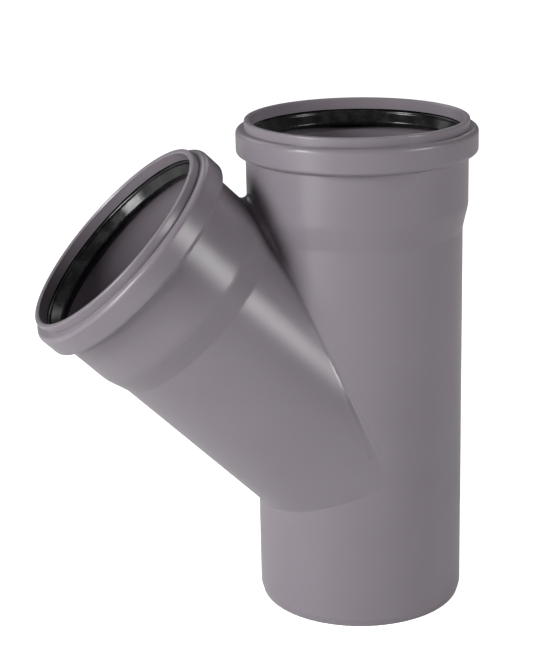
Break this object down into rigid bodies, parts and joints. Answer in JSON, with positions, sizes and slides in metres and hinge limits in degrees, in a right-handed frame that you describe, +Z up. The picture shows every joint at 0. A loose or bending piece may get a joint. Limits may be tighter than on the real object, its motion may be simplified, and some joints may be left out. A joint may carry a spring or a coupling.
{
  "type": "lateral wye fitting",
  "caption": "Lateral wye pipe fitting with a plain spigot foot, a straight socket on top and an equal socket on a branch at 45 degrees.",
  "frame": {"origin": "centre of the spigot's end face, at the foot of the run", "axes": "+Z up the run's axis towards the run socket, the branch leans towards -X in the XZ plane, Y is across the fitting"},
  "size_m": [0.2332, 0.1258, 0.2625],
  "materials": {
    "grey_polypropylene": "satin",
    "seal_rubber": "satin"
  },
  "bodies": {
    "root": {"fitting_body": "grey_polypropylene", "run_seal": "seal_rubber", "branch_seal": "seal_rubber"}
  },
  "joints": []
}
